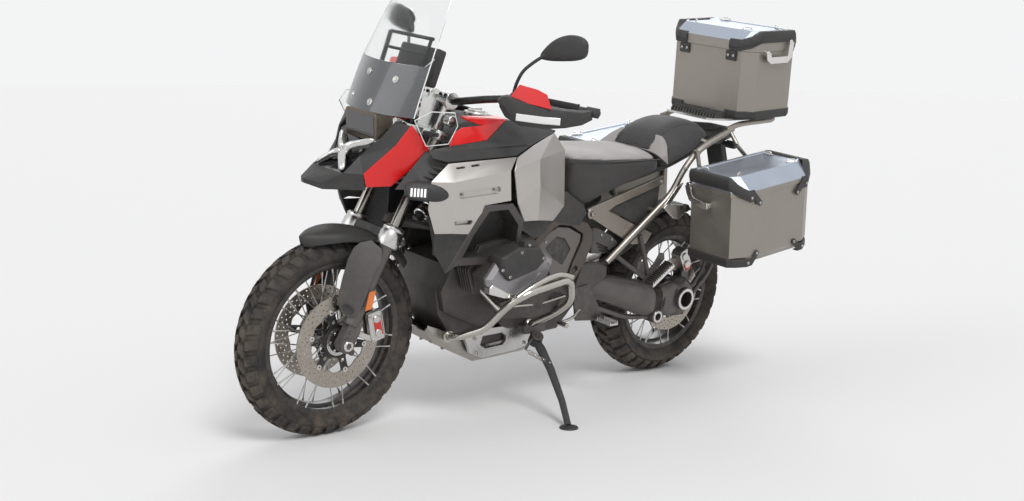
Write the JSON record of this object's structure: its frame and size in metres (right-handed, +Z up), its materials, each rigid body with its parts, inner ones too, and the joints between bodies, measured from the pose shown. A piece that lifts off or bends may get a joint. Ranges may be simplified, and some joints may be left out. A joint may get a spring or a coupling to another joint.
{
  "type": "adventure motorcycle",
  "caption": "Touring enduro motorcycle with a flat engine, shaft drive, tall screen and hard aluminium luggage, leaning on its side stand.",
  "frame": {"origin": "on the floor, under the middle of the box round the parked machine", "axes": "+X forward, +Y to the rider's left, +Z up; the machine leans to the left on its side stand"},
  "size_m": [2.3339, 1.0616, 1.5016],
  "materials": {
    "tyre_rubber": "dusty tread",
    "rim_black": "satin black",
    "hub_black": "satin black",
    "disc_steel": "ground",
    "dark_grey_paint": "satin",
    "satin_aluminium": "satin",
    "bar_black": "satin black",
    "dark_plastic": "fine grain",
    "grey_plastic": "fine grain",
    "engine_grey": "cast and painted",
    "engine_silver": "cast and painted",
    "frame_paint": "satin bronze grey",
    "frame_black": "satin black",
    "tube_steel": "polished",
    "silver_paint": "metallic silver",
    "red_paint": "gloss",
    "lamp_silver": "satin",
    "clear_screen": "clear",
    "seat_vinyl": "grained vinyl",
    "radiator_black": "matt",
    "skid_aluminium": "satin",
    "exhaust_steel": "satin",
    "case_aluminium": "bead blasted",
    "lid_aluminium": "brushed"
  },
  "bodies": {
    "chassis": {"engine_block": "engine_grey", "cylinders": "engine_silver", "cylinder_guards": "dark_plastic", "main_frame": "frame_paint", "front_arm": "frame_black", "front_strut": "frame_black", "swingarm": "dark_grey_paint", "rear_caliper": "satin_aluminium", "rear_strut": "frame_black", "rear_subframe": "frame_paint", "luggage_rack": "tube_steel", "tail": "dark_plastic", "rear_mudguard": "dark_plastic", "silver_panels": "silver_paint", "side_shrouds": "dark_plastic", "red_panels": "red_paint", "fuel_tank": "grey_plastic", "nose": "dark_plastic", "headlight": "lamp_silver", "auxiliary_lamps": "dark_plastic", "windscreen": "clear_screen", "screen_bracket": "dark_plastic", "rider_seat": "seat_vinyl", "passenger_seat": "seat_vinyl", "side_covers": "grey_plastic", "radiators": "radiator_black", "crash_bars": "tube_steel", "skid_plate": "skid_aluminium", "exhaust": "exhaust_steel", "footrests": "frame_black", "case_carriers": "tube_steel", "left_case": "case_aluminium", "right_case": "case_aluminium", "top_case": "case_aluminium", "stand_bracket": "frame_black"},
    "steering": {"fork_sliders": "dark_grey_paint", "fork_bridge": "satin_aluminium", "fork_stanchions": "satin_aluminium", "handlebar": "bar_black", "hand_guards": "dark_plastic", "mirrors": "dark_plastic", "front_fender": "grey_plastic", "front_calipers": "satin_aluminium"},
    "front_wheel": {"front_tyre": "tyre_rubber", "front_rim": "rim_black", "front_hub": "hub_black", "front_discs": "disc_steel"},
    "rear_wheel": {"rear_tyre": "tyre_rubber", "rear_rim": "rim_black", "rear_hub": "hub_black", "rear_disc": "disc_steel"},
    "left_lid": {"left_lid": "lid_aluminium"},
    "right_lid": {"right_lid": "lid_aluminium"},
    "top_lid": {"top_lid": "lid_aluminium"},
    "side_stand": {"side_stand": "dark_grey_paint"}
  },
  "joints": [
    {"name": "steering", "type": "hinge", "parent": "chassis", "child": "steering", "pos_m": [0.48634, 0.00007, 0.94897], "axis": [-0.4414, 0.1016, 0.8915], "range_deg": [-36, 36]},
    {"name": "front_wheel_spin", "type": "hinge", "parent": "steering", "child": "front_wheel", "pos_m": [0.83703, -0.07064, 0.32826], "axis": [0, 0.9936, -0.1132], "continuous": true},
    {"name": "rear_wheel_spin", "type": "hinge", "parent": "chassis", "child": "rear_wheel", "pos_m": [-0.69697, -0.07155, 0.32048], "axis": [0, 0.9936, -0.1132], "continuous": true},
    {"name": "side_stand_fold", "type": "hinge", "parent": "chassis", "child": "side_stand", "pos_m": [0.08503, 0.10362, 0.25011], "axis": [0.1027, 0.6709, 0.7344], "range_deg": [0, 92.69]},
    {"name": "left_lid_open", "type": "hinge", "parent": "chassis", "child": "left_lid", "pos_m": [-0.97555, 0.35402, 0.79606], "axis": [0, -0.9936, 0.1132], "range_deg": [0, 85]},
    {"name": "right_lid_open", "type": "hinge", "parent": "chassis", "child": "right_lid", "pos_m": [-0.97554, -0.37923, 0.8796], "axis": [0, -0.9936, 0.1132], "range_deg": [0, 85]},
    {"name": "top_lid_open", "type": "hinge", "parent": "chassis", "child": "top_lid", "pos_m": [-0.8404, 0.03586, 1.26323], "axis": [0, 0.9936, -0.1132], "range_deg": [0, 75]}
  ]
}
